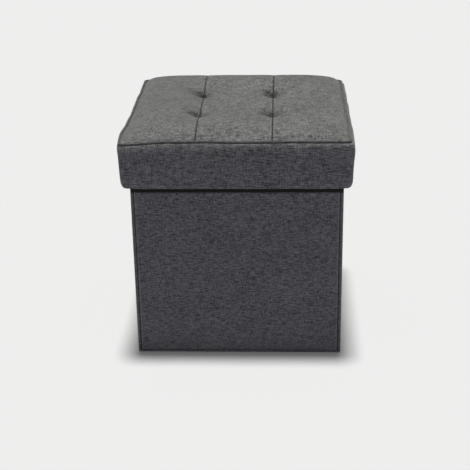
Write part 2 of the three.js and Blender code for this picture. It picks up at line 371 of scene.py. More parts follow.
def plain_weave(nodes, pitch):
    """Height of a plain weave: warp and weft threads that pass over and under in turn."""
    split = nodes.add("SeparateXYZ", [nodes.cloth()])
    counted = [nodes.math("DIVIDE", split.outputs[axis], pitch) for axis in (0, 1)]
    rounds = []
    for value in counted:
        offset = nodes.math("SUBTRACT", nodes.math("FRACT", value), 0.5)
        rounds.append(nodes.weighted((nodes.math("MULTIPLY", offset, offset), -4.0), start=1.0))
    cells = nodes.math("ADD", nodes.math("FLOOR", counted[0]),
                       nodes.math("FLOOR", counted[1]))
    over = nodes.math("FLOORED_MODULO", cells, 2.0)
    return nodes.weighted((rounds[0], nodes.weighted((over, 0.4), start=0.35)),
                          (rounds[1], nodes.weighted((over, -0.4), start=0.75)))


def linen(name, dark, light, seed, lid_shadow_height=None):
    """Melange linen: slubbed threads both ways, a plain weave, soft blotches, and wear with
    painted shade and light from the points' values. At a shadow height, a near-black line of
    painted shadow is painted where the lid's overhang shades the wall."""
    nodes = Nodes(name)
    weave = plain_weave(nodes, 0.8 * MM)
    weft = nodes.threads(9 * MM, 1.05 * MM, 2.5, 0.62, seed)
    warp = nodes.threads(1.05 * MM, 8 * MM, 2.5, 0.62, seed + 3)
    speck = nodes.threads(2.2 * MM, 1.5 * MM, 2.0, 0.6, seed + 5)
    blotch = nodes.threads(70 * MM, 55 * MM, 3.0, shift=seed + 7)
    wear_and_shade = nodes.attribute("wear_and_shade", "Fac")
    threads = nodes.weighted((weft, 0.53), (warp, 0.33), (speck, 0.18))
    shade = nodes.weighted((blotch, 0.05), (wear_and_shade, 0.03), (weave, 0.04), start=threads)
    middle = tuple(a * 0.55 + b * 0.45 for a, b in zip(dark, light))
    colour = nodes.ramp(shade, [(0.46, dark), (0.57, middle), (0.68, light)])
    # painted shadow of the lid's overhang: the colour goes to near black at the shadow height
    if lid_shadow_height:
        level = nodes.add("SeparateXYZ", [nodes.add("TexCoord").outputs["Object"]]).outputs[2]
        away = nodes.math("ABSOLUTE", nodes.math("SUBTRACT", level, lid_shadow_height))
        full, none = 2.2 * MM, 6.5 * MM         # distances where the painted shadow is full and gone
        lid_shadow = nodes.add("MapRange", [away, full, none, 0.97, 0.0]).outputs[0]
        mixed = nodes.add("Mix", data_type="RGBA")
        shadow_black = (0.004, 0.004, 0.0038, 1)
        for socket, value in ((0, lid_shadow), (6, colour), (7, shadow_black)):
            nodes.put(mixed.inputs[socket], value)
        colour = mixed.outputs[2]
    roughness = nodes.weighted((threads, -0.16), start=0.98)
    height = nodes.weighted((weave, 0.5), start=threads)
    shader = nodes.shader
    shader.inputs["Sheen Weight"].default_value = 0.16
    shader.inputs["Sheen Roughness"].default_value = 0.45
    shader.inputs["Sheen Tint"].default_value = (1.0, 1.0, 0.93, 1)
    shader.inputs["Specular IOR Level"].default_value = 0.15
    return nodes.finish(colour, roughness, height, distance=0.35 * MM, strength=0.9)


def nonwoven(name, dark, light, dot_pitch):
    """Spun-bonded lining: matted fibres pressed together in rows of small dots."""
    nodes = Nodes(name)
    split = nodes.add("SeparateXYZ", [nodes.cloth()])
    waves = [nodes.math("SINE", nodes.math("MULTIPLY", split.outputs[axis],
                                           2 * math.pi / dot_pitch)) for axis in (0, 1)]
    dots = nodes.math("MULTIPLY", waves[0], waves[1])
    dots = nodes.math("GREATER_THAN", dots, 0.55)
    fibres = nodes.threads(3 * MM, 0.7 * MM, 4.0, 0.7)
    cloud = nodes.threads(14 * MM, 14 * MM, 3.0, shift=2.0)
    shade = nodes.weighted((fibres, 0.6), (cloud, 0.4), (dots, -0.12))
    colour = nodes.ramp(shade, [(0.3, dark), (0.7, light)])
    roughness = nodes.weighted((dots, -0.25), start=0.95)
    height = nodes.weighted((fibres, 0.5), (dots, -1.0))
    return nodes.finish(colour, roughness, height, distance=0.12 * MM)


def board_material(name, dark, light, grain):
    """Fibreboard or thin wood: fine flecks, drawn out along one axis by the grain."""
    nodes = Nodes(name)
    place = nodes.add("TexCoord").outputs["Object"]
    mapped = nodes.add("Mapping", [place])
    mapped.inputs["Scale"].default_value = grain
    fleck = nodes.noise(mapped.outputs["Vector"], 380.0, 5.0, 0.7)
    cloud = nodes.noise(mapped.outputs["Vector"], 22.0, 3.0)
    colour = nodes.ramp(nodes.weighted((fleck, 0.65), (cloud, 0.35)),
                        [(0.3, dark), (0.7, light)])
    roughness = nodes.weighted((fleck, -0.2), start=0.9)
    return nodes.finish(colour, roughness, fleck, distance=0.15 * MM)


def foam_material():
    nodes = Nodes("open_cell_foam")
    cells = nodes.add("TexVoronoi")
    nodes.put(cells.inputs["Vector"], nodes.cloth())
    cells.inputs["Scale"].default_value = 900.0
    tint = nodes.noise(nodes.cloth(), 18.0, 3.0)
    shade = nodes.weighted((cells.outputs["Distance"], 0.5), (tint, 0.6))
    colour = nodes.ramp(shade, [(0.2, (0.55, 0.5, 0.36)), (0.8, (0.82, 0.78, 0.62))])
    return nodes.finish(colour, 0.95, cells.outputs["Distance"], distance=0.4 * MM)


def ribbon_material():
    """Grosgrain: close cross ribs along a woven ribbon."""
    nodes = Nodes("grosgrain_ribbon")
    split = nodes.add("SeparateXYZ", [nodes.cloth()])
    ribs = nodes.math("SINE", nodes.math("MULTIPLY", split.outputs[1],
                                         2 * math.pi / (0.9 * MM)))
    fuzz = nodes.threads(0.8 * MM, 3 * MM, 3.0)
    colour = nodes.ramp(fuzz, [(0.3, (0.0104, 0.0100, 0.0116)), (0.7, (0.0360, 0.0345, 0.0400))])
    roughness = nodes.weighted((fuzz, 0.2), start=0.45)
    return nodes.finish(colour, roughness, ribs, distance=0.15 * MM)


def thread_material():
    nodes = Nodes("waxed_thread")
    ply = nodes.threads(0.4 * MM, 0.9 * MM, 2.0)
    colour = nodes.ramp(ply, [(0.3, (0.036, 0.0345, 0.040)), (0.7, (0.093, 0.089, 0.103))])
    roughness = nodes.weighted((ply, 0.25), start=0.4)
    return nodes.finish(colour, roughness, ply, distance=0.1 * MM)


DARK, LIGHT = (0.0200, 0.0190, 0.0232), (0.192, 0.1845, 0.2125)
LINEN = linen("charcoal_linen", DARK, LIGHT, 0.0)
BAND_LINEN = linen("band_linen", DARK, LIGHT, 11.0)
# painted shadow: a dark line just below the lid's edge
WALL_LINEN = linen("wall_linen", DARK, LIGHT, 17.0, lid_shadow_height=LID_BOTTOM - 5 * MM)
# painted shade: the piping is a darker copy of the linen, for the shadowed groove it lies in
PIPING_LINEN = linen("piping_linen", (0.016, 0.0153, 0.0185), (0.135, 0.130, 0.150), 23.0)
LINING = nonwoven("black_nonwoven", (0.0160, 0.0152, 0.0178), (0.0510, 0.0486, 0.0565),
                  2.4 * MM)
BOTTOM = nonwoven("bottom_nonwoven", (0.0205, 0.0196, 0.0228), (0.0610, 0.0582, 0.0675),
                  3.0 * MM)
FIBREBOARD = board_material("fibreboard", (0.19, 0.12, 0.065), (0.42, 0.30, 0.18), (1, 1, 1))
RAIL_WOOD = board_material("rail_wood", (0.30, 0.19, 0.10), (0.56, 0.41, 0.25),
                           (0.12, 0.12, 1))
FOAM = foam_material()
RIBBON = ribbon_material()
THREAD = thread_material()

# ---------- the lid's cushion

CELLS = 88                # cells each way in the simulated top
PULL_HALF_X = 5.5 * MM    # half width of the stitched pinch at a tuft
PULL_HALF_Y = 2.3 * MM
TUFT_HOLD = SEAM_Z + 9.5 * MM     # where the padding first stops a tuft's thread
FRAMES = 26               # the cloth has settled by then
LINEN_CLOTH = dict(quality=7, mass=0.2, air_damping=3.0, tension_stiffness=15,
                   compression_stiffness=15, shear_stiffness=5, bending_stiffness=1.0,
                   tension_damping=12, compression_damping=12, pin_stiffness=1.0,
                   use_pressure=True, uniform_pressure_force=4.0)
SETTLE_MOST = 8 * MM      # the padding lets the cloth move no further
EVENING_PASSES = 14
CROWN_RISE = CROWN_Z - SEAM_Z + 5.5 * MM          # padded a little fuller than the CAD


def seam_droop(x, y):
    """The sewn edge hangs a little lower at the front left and rear right corners."""
    along_front = 1 - smooth((x + LID_X) / (75 * MM))
    along_left = 1 - smooth((y + LID_Y) / (45 * MM))
    rear_right = np.exp(-np.hypot(LID_X - x, LID_Y - y) / (18 * MM))
    return -4.5 * MM * along_front * along_left - 3 * MM * rear_right


SIDEWAYS = ripples(21, 5, 60 * MM, 190 * MM)


def seam_warp(points, away):
    """The sewn edge is never quite straight: it moves sideways a little, less so away from
    the seam. away is each point's distance from the seam."""
    x, y = points[..., 0].copy(), points[..., 1].copy()
    share = 1.9 * MM * np.exp(-away / (22 * MM))
    at_side = np.exp(-((LID_X - np.abs(x)) / (28 * MM)) ** 2)
    at_end = np.exp(-((LID_Y - np.abs(y)) / (28 * MM)) ** 2)
    free = (1 - at_side * at_end)
    points[..., 0] += share * at_side * free * SIDEWAYS(y, np.sign(x) * 0.4)
    points[..., 1] += share * at_end * free * SIDEWAYS(x, np.sign(y) * 0.7)
    from_front = y + LID_Y         # the left edge bulges out most a little behind the corner
    bulge = 5.6 * MM * (x < 0) * np.exp(-((from_front - 35 * MM) / (50 * MM)) ** 2)
    points[..., 0] -= bulge * np.exp(-away / (20 * MM)) * at_side
    return points


def crown(x, y, height):
    """Rise of the padded top: quick at the sewn edge, steepest at the rear, then flat."""
    side = TOP_X - np.abs(x)
    across_x = 1 - np.exp(-side / (11 * MM))
    rear = 1 - np.exp(-(TOP_Y - y) / (5 * MM))
    front = 1 - np.exp(-(y + TOP_Y) / (15 * MM))
    dome = 1 - 0.12 * ((x / TOP_X) ** 2 + (y / TOP_Y) ** 2) / 2
    return height * across_x * rear * front * dome


def from_seams(x):
    """Distance across from the nearer of the two seams."""
    return np.minimum(np.abs(x - SEAM_LEFT), np.abs(x - SEAM_RIGHT))


def near_tuft(x, y, half_x, half_y):
    """Which points lie in the small stitched rectangle at a tuft."""
    return (from_seams(x) < half_x) & (np.abs(np.abs(y + SEWN_FORWARD) - TUFT_Y) < half_y)


def start_shape():
    xs = np.linspace(-TOP_X, TOP_X, CELLS + 1)
    ys = np.linspace(-TOP_Y, TOP_Y, CELLS + 1)
    x, y = lattice(xs, ys)
    z = SEAM_Z + crown(x, y, CROWN_RISE)
    return xs, ys, np.stack([x, y, z], -1)


def simulated_top():
    """The top as the cloth settles: sewn round its edge, filled from below, and pulled down
    where it is stitched at the tufts."""
    xs, ys, rest = start_shape()
    count = CELLS + 1
    border = np.zeros((count, count), bool)
    border[[0, -1], :] = border[:, [0, -1]] = True
    pulled = near_tuft(rest[..., 0], rest[..., 1], PULL_HALF_X, PULL_HALF_Y)
    faces, _, _ = grid_faces(count, count, False, False)
    ring = ([k * count for k in range(count)]
            + [(count - 1) * count + k for k in range(1, count)]
            + [k * count + count - 1 for k in range(count - 2, -1, -1)]
            + [k for k in range(count - 2, 0, -1)])
    centre = count * count
    below = np.array([[0, 0, SEAM_Z - 25 * MM]])
    faces = faces.tolist() + [[a, centre, b] for a, b in zip(ring, ring[1:] + ring[:1])]
    mesh = bpy.data.meshes.new("settling")
    mesh.from_pydata(np.concatenate([rest.reshape(-1, 3), below]).tolist(), [], faces)
    made = add_object("settling", mesh)
    pins = made.vertex_groups.new(name="pins")
    held = np.flatnonzero((border | pulled).ravel()).tolist() + [centre]
    pins.add(held, 1.0, "REPLACE")
    made.shape_key_add(name="flat")
    pull = made.shape_key_add(name="pull")
    for index in np.flatnonzero(pulled.ravel()).tolist():
        pull.data[index].co.z = TUFT_HOLD
    for shown, value in ((1, 0.0), (10, 1.0)):
        pull.value = value
        pull.keyframe_insert("value", frame=shown)

    cloth = made.modifiers.new("cloth", "CLOTH")
    for name, value in LINEN_CLOTH.items():
        setattr(cloth.settings, name, value)
    cloth.settings.vertex_group_mass = "pins"
    cloth.settings.effector_weights.gravity = 0.0
    cloth.point_cache.frame_start, cloth.point_cache.frame_end = 1, FRAMES
    scene = bpy.context.scene
    for number in range(1, FRAMES + 1):
        scene.frame_set(number)
    settled = made.evaluated_get(bpy.context.evaluated_depsgraph_get()).to_mesh()
    co = np.array([v.co for v in settled.vertices])[:centre].reshape(count, count, 3)
    scene.frame_set(1)
    bpy.data.objects.remove(made)
    moved = np.clip(co - rest, -SETTLE_MOST, SETTLE_MOST)
    for _ in range(EVENING_PASSES):
        inner = moved.copy()
        inner[1:-1] = (moved[:-2] + 2 * moved[1:-1] + moved[2:]) / 4
        moved[:, 1:-1] = (inner[:, :-2] + 2 * inner[:, 1:-1] + inner[:, 2:]) / 4
        moved[border] = 0
    return xs, ys, rest + moved


TOP_XS, TOP_YS, TOP_SHAPE = simulated_top()


def tuft_folds(x, y):
    """Depth of the folds that run out of a tuft: a broad hollow to its left, a sharp crease
    to its right, and a short one each way along the seam."""
    left = np.clip(1 + x / (30 * MM), 0, 1) * (x < 0)
    right = np.clip(1 - x / (24 * MM), 0, 1) * (x >= 0)
    hollow = left ** 1.2 * np.exp(-((y - 3 * MM + 0.12 * x) / (7 * MM)) ** 2)
    crease = (left + right) * np.exp(-np.abs(y - 0.10 * x) / (1.6 * MM))
    dimple = np.exp(-(np.hypot(x / (12 * MM), y / (11 * MM))) ** 1.1)
    return (4.0 * hollow + 2.4 * crease + 9.5 * dimple) * MM


def top_surface(x_lines, y_lines):
    """The settled top read on other grid lines, with its finer sewn detail."""
    shape = resample(TOP_SHAPE, TOP_XS, x_lines)
    shape = resample(shape.transpose(1, 0, 2), TOP_YS, y_lines).transpose(1, 0, 2)
    x, y = lattice(x_lines, y_lines)
    edge = np.minimum(TOP_X - np.abs(x), TOP_Y - np.abs(y))
    from_seam = from_seams(x)
    valley = 1.7 * np.exp(-(from_seam / (10 * MM)) ** 2) + 0.7 * np.exp(-from_seam / (2.5 * MM))
    lift = -valley * MM * (0.25 + 0.75 * smooth((TOP_Y - np.abs(y)) / (75 * MM)))
    for tuft_x, tuft_y in TUFTS:
        lift = lift - tuft_folds(x - tuft_x, y - tuft_y)
    gathers = ripples(5, 9, 11 * MM, 26 * MM)(x, y)
    lift = lift + 0.35 * MM * gathers * np.exp(-edge / (12 * MM)) * smooth(edge / (3 * MM))
    lift = lift + 0.35 * MM * ripples(8, 8, 35 * MM, 90 * MM)(x, y) * smooth(edge / 0.02)
    shape[..., 2] += lift + seam_droop(x, y) * np.exp(-edge / (30 * MM))
    return seam_warp(shape, edge)


def top_panel(name, start, end, node):
    """One of the three sewn panels. Its edges roll down into the seams."""
    x_lines = cloth_lines(start, end, 2.2 * MM)
    y_lines = cloth_lines(-TOP_Y, TOP_Y, 2.2 * MM)
    shape = top_surface(x_lines, y_lines)
    x, y = lattice(x_lines, y_lines)
    in_x = np.minimum(x - start, end - x)
    in_y = TOP_Y - np.abs(y)
    outer = {"left": x - start, "right": end - x}.get(node)
    radius = np.full(x.shape, 1.1 * MM)
    if outer is not None:
        radius = np.where(in_x == outer, 1.7 * MM, radius)
    shape[..., 2] -= np.maximum(roll_depth(in_x, radius, 2.5 * MM),
                                roll_depth(in_y, 1.7 * MM, 2.5 * MM))
    inward = np.minimum(in_x, in_y)
    # paler a few millimetres in from each edge, darker along the tucked edge itself
    wear_and_shade = np.exp(-inward / (4 * MM)) - 8 * np.exp(-(inward / (1.1 * MM)) ** 2)
    for tuft_x, tuft_y in TUFTS:        # painted shade: darker in a dimple and to its left
        across, back = x - tuft_x + 3 * MM, y - tuft_y - 4 * MM
        wear_and_shade = wear_and_shade - 3.6 * np.exp(-np.hypot(across / (12 * MM), back / (9 * MM)) ** 1.5)
        broad = np.hypot((across + 7 * MM) / (18 * MM), (back - 6 * MM) / (16 * MM))
        wear_and_shade = wear_and_shade - 1.1 * np.exp(-broad ** 2)
    made = grid_piece(f"lid_top_cover_{name}", shape, x_lines, y_lines, [LINEN],
                      seed=31 + len(name), shade_and_wear=wear_and_shade)
    thicken(made, 1.1 * MM)
    settle(made, "lid", "outer_linen", f"lid_top_{node}")
    return made


FOAM_LINES = 70


def foam_pad():
    """Foam under the cover: it follows the settled top a little below it."""
    half_x, half_y = high("lid_foam").x - 0.5 * MM, high("lid_foam").y - 0.5 * MM
    xs = np.linspace(-half_x, half_x, FOAM_LINES)
    ys = np.linspace(-half_y, half_y, FOAM_LINES)
    top = top_surface(np.clip(xs, -TOP_X, TOP_X), np.clip(ys, -TOP_Y, TOP_Y))
    x, y = lattice(xs, ys)
    edge = np.minimum(half_x - np.abs(x), half_y - np.abs(y))
    seam = np.exp(-(from_seams(x) / (6 * MM)) ** 2)
    down = (3.2 + 2.6 * seam + 3.5 * np.exp(-edge / (5 * MM))) * MM
    upper = np.stack([x, y, top[..., 2] - down], -1)
    last = FOAM_LINES - 1
    outline = ([(k, 0) for k in range(last)] + [(last, k) for k in range(last)]
               + [(k, last) for k in range(last, 0, -1)] + [(0, k) for k in range(last, 0, -1)])
    rim = np.array([upper[i, j] for i, j in outline])
    side = []
    for level in np.linspace(1, 0, 6)[1:]:
        bulge = 1 + 0.004 * math.sin(math.pi * level)
        ring = rim * [bulge, bulge, 1]
        ring[:, 2] = FOAM_Z + (rim[:, 2] - FOAM_Z) * level
        side.append(ring)
    points = np.concatenate([upper.reshape(-1, 3), *side])
    faces = grid_faces(FOAM_LINES, FOAM_LINES, False, False)[0].tolist()
    above = [i * FOAM_LINES + j for i, j in outline]
    for level in range(len(side)):
        first = FOAM_LINES ** 2 + level * len(outline)
        here = [first + k for k in range(len(outline))]
        for k in range(len(outline)):
            after = (k + 1) % len(outline)
            faces.append([above[after], above[k], here[k], here[after]])
        above = here
    faces.append(above[::-1])
    places = [points[v] for face in faces for v in face]
    made = piece("lid_foam_pad", points, faces, places, [FOAM])
    settle(made, "lid", "seat_foam", "lid_foam")
    return made


def tuft_thread(end, side):
    """The waxed twine of one tuft: down through the foam and board, with a bar on top."""
    at = TIE[end, side]
    sewn_x = SEAM_LEFT if side == "left" else SEAM_RIGHT
    sewn_y = at.y - SEWN_FORWARD
    top = top_surface(np.array([sewn_x]), np.array([sewn_y]))[0, 0, 2]
    count = 60
    z = np.linspace(LID_BOARD_Z + 0.5 * MM, top + 0.2 * MM, count)
    points, faces, places = [], [], []
    for ply in (0, math.pi):
        turn = z * 2 * math.pi / (7 * MM) + ply
        lean = smooth((z - FOAM_Z) / (top - FOAM_Z))
        path = np.stack([at.x + (sewn_x - at.x) * lean + 0.45 * MM * np.cos(turn),
                         at.y + (sewn_y - at.y) * lean + 0.45 * MM * np.sin(turn), z], 1)
        add_tube(points, faces, places, path, 0.5 * MM, 8, (0.5 * MM, 0.5 * MM))
    for row in (-0.4, 0.4):
        x = np.linspace(-2.6, 2.6, 12) * MM
        z_bar = top_surface(sewn_x + x, np.array([sewn_y + row * MM]))[:, 0, 2]
        arch = 0.5 * MM * (1 - (x / (2.6 * MM)) ** 2) - 0.2 * MM
        path = np.stack([sewn_x + x, np.full(12, sewn_y + row * MM), z_bar + arch], 1)
        add_tube(points, faces, places, path, 0.38 * MM, 8, (0.38 * MM, 0.38 * MM))
    made = piece(f"lid_tuft_thread_{end}_{side}", points, faces, places, [THREAD])
    return settle(made, "lid", "tuft_thread", f"lid_tuft_tie_{end}_{side}")


# ---------- the lid's edge

CORNER = 10 * MM          # bend of the piping at the lid's corners
BAND_BULGE = 4.2 * MM


def corner_share(at):
    """1 at a corner of the lid and 0 a few centimetres away along either side."""
    away = np.minimum(LID_X - np.abs(at[:, 0]), LID_Y - np.abs(at[:, 1]))
    along = np.maximum(LID_X - np.abs(at[:, 0]), LID_Y - np.abs(at[:, 1]))
    return np.exp(-((along + away) / (26 * MM)) ** 2)


def piping():
    """Self-covered cord round the top, with the cover's small puckers."""
    radius = min(PIPING_R, 1.8 * MM)
    inset = 2.1 * MM
    at, _, lengths = rounded_loop(LID_X - inset, LID_Y - inset, CORNER - inset, 2.5 * MM)
    z = SEAM_Z + 0.4 * MM + seam_droop(at[:, 0], at[:, 1])
    z = z + 0.25 * MM * ripples(3, 6, 0.05, 0.16)(at[:, 0], at[:, 1])
    path = seam_warp(np.column_stack([at, z]), 0 * z)
    closed = np.concatenate([path[-2:], path, path[:2]])
    pucker = 1 + 0.05 * ripples(4, 6, 7 * MM, 16 * MM)(closed[:, 0], closed[:, 1])
    ring = tube_points(closed, radius * pucker, 12)[2:-2]
    around = np.linspace(0, 2 * math.pi * radius, 13)
    made = grid_piece("lid_piping_cord", ring, lengths, around, [PIPING_LINEN],
                      wrap_u=True, wrap_v=True, seed=41, shade_and_wear=np.full(ring.shape[0] * 12, 0.6))
    return settle(made, "lid", "piping_linen", "lid_piping")


def band_profile():
    """Outward offset from the band's CAD face and height, from the groove under the piping
    down the padded face, under the rail and up its inner side."""
    drop = SEAM_Z - LID_BOTTOM
    hem = RAIL_IN_X - LID_X - 1.3 * MM
    outside = [(-6.5 * MM, 0.8 * MM), (-3.6 * MM, 1.0 * MM), (-1.5 * MM, 1.4 * MM),
               (0.4 * MM, 2.5 * MM), (1.7 * MM, 4.3 * MM), (2.6 * MM, 7.2 * MM),
               (3.2 * MM, 11 * MM)]
    rows = [(off, SEAM_Z - down) for off, down in outside]
    for share in np.linspace(0.2, 0.84, 17):
        bulge = BAND_BULGE * (1 - 0.55 * abs(2 * share - 0.9) ** 2.2)
        rows.append((bulge, SEAM_Z - drop * share))
    turn = [(2.9, 9.8), (2.4, 6.9), (1.5, 4.4), (0.2, 2.5), (-1.6, 1.4), (-4.0, 0.9),
            (-6.6, 0.8), (-8.6, 1.1)]
    rows += [(off * MM, LID_BOTTOM + up * MM) for off, up in turn]
    rows += [(hem, LID_BOTTOM + up) for up in np.linspace(2.2 * MM, LINING_Z - LID_BOTTOM
                                                          - 0.2 * MM, 12)]
    return np.array(rows)


def band():
    """The padded strip round the lid: one ring, softly waved, tight at the corners."""
    at, out, lengths = rounded_loop(LID_X, LID_Y, CORNER, 3.0 * MM, 14)
    rows = band_profile()
    near_corner = corner_share(at)
    run = run_along(rows)
    off, z = rows[:, 0][None, :], rows[:, 1][None, :]
    face = smooth((off + 1 * MM) / (3 * MM))
    wave = ripples(12, 10, 45 * MM, 150 * MM)(at[:, 0:1] + at[:, 1:2] * 0.7, z)
    small = ripples(13, 10, 14 * MM, 34 * MM)(at[:, 0:1] - at[:, 1:2], z * 1.3)
    under_piping = np.exp(-(SEAM_Z - z) / (9 * MM))
    offset = off + face * (0.7 * MM * wave + small * (0.12 + 0.5 * under_piping) * MM)
    offset = offset - face * 1.1 * MM * near_corner[:, None] * np.sin(
        np.clip((z - LID_BOTTOM) / (SEAM_Z - LID_BOTTOM), 0, 1) * math.pi)
    on_right = smooth((at[:, 0:1] - LID_X + 14 * MM) / (10 * MM))      # fuller on that side
    upper = np.exp(-((SEAM_Z - 16 * MM - z) / (18 * MM)) ** 2)
    offset = offset + face * 2.0 * MM * on_right * upper
    lower = smooth(1 - (z - LID_BOTTOM) / (16 * MM)) * (run[None, :] < run[-13])
    offset = offset - 1.6 * MM * near_corner[:, None] * lower
    share = np.clip((z - LID_BOTTOM) / (SEAM_Z - LID_BOTTOM), 0, 1)
    height = z + seam_droop(at[:, 0], at[:, 1])[:, None] * share
    height = height + 0.5 * MM * near_corner[:, None] * lower
    points = np.concatenate([at[:, None, :] + out[:, None, :] * offset[..., None],
                             height[..., None]], -1)
    below = np.where(run < run[-14], SEAM_Z - rows[:, 1], 1.0)
    points = seam_warp(points, np.broadcast_to(below, offset.shape))
    # painted shade: near black on the underside under the lid, and darker down the lower rolled
    # edge above it
    underside_shade = smooth((run - run[-17]) / (4 * MM))[None, :]
    hem = smooth((run - run[-17] + 6 * MM) / (6 * MM))[None, :]
    wear_and_shade = np.broadcast_to(-7 * underside_shade - 1.6 * hem, offset.shape)
    made = grid_piece("lid_band_cover", points, lengths, -run, [BAND_LINEN], wrap_u=True,
                      seed=43, shade_and_wear=wear_and_shade, flip=True)
    thicken(made, 1.1 * MM)
    settle(made, "lid", "outer_linen",
           *[f"lid_band_{side}" for side in ("front", "rear", "left", "right")])
    return made


# ---------- flat panels and sheets


def panel(name, corner, across, up, outward, width, height, material, seed,
          step=6 * MM, wave=0.25 * MM, radius=1.2 * MM, tuck=1.0 * MM, thickness=0.9 * MM):
    """A flat upholstered panel: a sheet with rolled edges and a slight unevenness that only
    goes inward. corner is its lower start corner on the outer face."""
    corner, across, up, outward = (np.array(v, float) for v in (corner, across, up, outward))
    u_lines = cloth_lines(0, width, step)
    v_lines = cloth_lines(0, height, step)
    u, v = lattice(u_lines, v_lines)
    edge = np.minimum(np.minimum(u, width - u), np.minimum(v, height - v))
    depth = roll_depth(edge, radius, tuck)
    depth = depth + wave * (1 + ripples(seed, 9, 50 * MM, 170 * MM)(u, v)) * smooth(edge / 0.03)
    points = (corner + u[..., None] * across + v[..., None] * up - depth[..., None] * outward)
    side = np.minimum(u, width - u)
    wear_and_shade = 2.4 * np.exp(-((side - 1.4 * MM) / (1.0 * MM)) ** 2) - 4 * (side < 0.5 * MM)
    if material is WALL_LINEN:      # painted light: paler towards the foot, where the floor's bounce falls
        wear_and_shade = wear_and_shade + 1.7 * np.exp(-v / (16 * MM)) + 0.5 * np.exp(-v / (120 * MM))
    flip = np.dot(np.cross(across, up), outward) < 0
    made = grid_piece(name, points, u_lines, v_lines, [material], seed=seed, flip=flip,
                      shade_and_wear=wear_and_shade)
    return thicken(made, thickness)


def lid_lining():
    half_x, half_y = RAIL_IN_X - 1.4 * MM, RAIL_IN_Y - 1.4 * MM
    made = panel("lid_lining_sheet", (-half_x, -half_y, LINING_Z), (1, 0, 0), (0, 1, 0),
                 (0, 0, -1), 2 * half_x, 2 * half_y, LINING, 51, step=12 * MM,
                 wave=0.1 * MM, radius=0.4 * MM, tuck=0.2 * MM, thickness=0.6 * MM)
    settle(made, "lid", "lining_nonwoven", "lid_lining")
    return made


# Each wall segment: its body, the start corner of its outer face, the direction along it
# and the direction out of it.
HINGE_REACH = 5 * MM      # width of the hinge fabric on each side of a crease or corner
FRONT_SPAN = high("front_wall_cover").x


def segments():
    """(name, body, start corner, along, outward, length, margins at start and end)."""
    found = []
    for end, body, sign in (("front", "front_wall", -1), ("rear", "root", 1)):
        start = (-FRONT_SPAN * -sign, sign * BODY_Y, WALL_BOTTOM)
        found.append((f"{end}_wall", body, start, (-sign, 0, 0), (0, sign, 0),
                      2 * FRONT_SPAN, (0, 0)))
    for side, sign in (("left", -1), ("right", 1)):
        for end, body_end in (("front", "front_half"), ("rear", "rear_half")):
            node = f"{side}_{end}_wall_cover"
            first = low(node).y if sign > 0 else high(node).y
            found.append((f"{side}_{end}_wall", f"{side}_{body_end}",
                          (sign * BODY_X, first, WALL_BOTTOM), (0, sign, 0), (sign, 0, 0),
                          high(node).y - low(node).y, (HINGE_REACH, HINGE_REACH)))
    return found


def rim_profile():
    """Across the wall's upper edge: up the outer face, over a round top, down the inner."""
    radius = WALL / 2 - 0.05 * MM
    hem = 11 * MM
    angles = np.linspace(0, math.pi, 13)
    top = WALL_TOP - radius
    rows = [(0.0, WALL_TOP - hem), (-0.25 * MM, WALL_TOP - hem + 0.6 * MM)]
    rows += [(-0.05 * MM, WALL_TOP - share * hem) for share in (0.75, 0.5, 0.35)]
    rows += [(WALL / 2 - radius * math.cos(a), top + radius * math.sin(a)) for a in angles]
    rows += [(WALL + 0.05 * MM, WALL_TOP - share * hem) for share in (0.35, 0.5, 0.75)]
    rows += [(WALL + 0.25 * MM, WALL_TOP - hem + 0.6 * MM), (WALL, WALL_TOP - hem)]
    return np.array(rows)


def rim_binding(name, body, start, along, outward, length, margins, seed):
    """The binding folded over the wall's upper edge, with a row of stitches each side."""
    base = np.array([start[0], start[1], 0.0])
    u_lines = np.linspace(margins[0], length - margins[1],
                          max(8, round(length / (8 * MM))))
    rows = rim_profile()
    sag = 0.15 * MM * ripples(seed, 5, 40 * MM, 90 * MM)(u_lines, 0 * u_lines)
    points = (base + u_lines[:, None, None] * along
              - rows[None, :, 0:1] * outward
              + rows[None, :, 1:2] * np.array([0, 0, 1.0]))
    middle = np.sin(math.pi * np.clip(rows[:, 0] / WALL, 0, 1))
    points[..., 2] -= np.abs(sag[:, None]) * middle[None, :]
    run = run_along(rows)
    flip = np.dot(np.cross(along, [0, 0, 1.0]), outward) < 0
    made = grid_piece(f"{name}_rim_binding", points, u_lines, run, [LINEN], seed=seed,
                      flip=flip, shade_and_wear=np.tile(middle, len(u_lines)))
    thicken(made, 0.5 * MM)
    settle(made, body, "outer_linen", f"{name}_rim")
    z = WALL_TOP - 8.5 * MM
    ends = []
    for depth in (-0.35 * MM, WALL + 0.35 * MM):
        place = margins[0] + 3 * MM
        while place < length - margins[1] - 5 * MM:
            a = base + place * along - depth * outward + np.array([0, 0, z])
            ends.append((a, a + 2.6 * MM * along))
            place += 4 * MM
    stitches = capsules(f"{name}_rim_stitches", ends, 0.3 * MM, THREAD)
    settle(stitches, body, "tuft_thread")


def wall(name, body, start, along, outward, length, margins, seed):
    start, along, outward = (np.array(v, float) for v in (start, along, outward))
    first = start + margins[0] * along
    width = length - margins[0] - margins[1]
    height = WALL_TOP - 10 * MM - WALL_BOTTOM
    cover = panel(f"{name}_linen", first, along, (0, 0, 1), outward, width, height,
                  WALL_LINEN, seed)
    settle(cover, body, "outer_linen", f"{name}_cover")
    lining = panel(f"{name}_lining_sheet", first - WALL * outward, along, (0, 0, 1), -outward,
                   width, height, LINING, seed + 100, step=12 * MM, wave=0.12 * MM,
                   radius=0.6 * MM, tuck=0.2 * MM, thickness=0.6 * MM)
    settle(lining, body, "lining_nonwoven", f"{name}_lining")
    rim_binding(name, body, start, along, outward, length, margins, seed + 200)


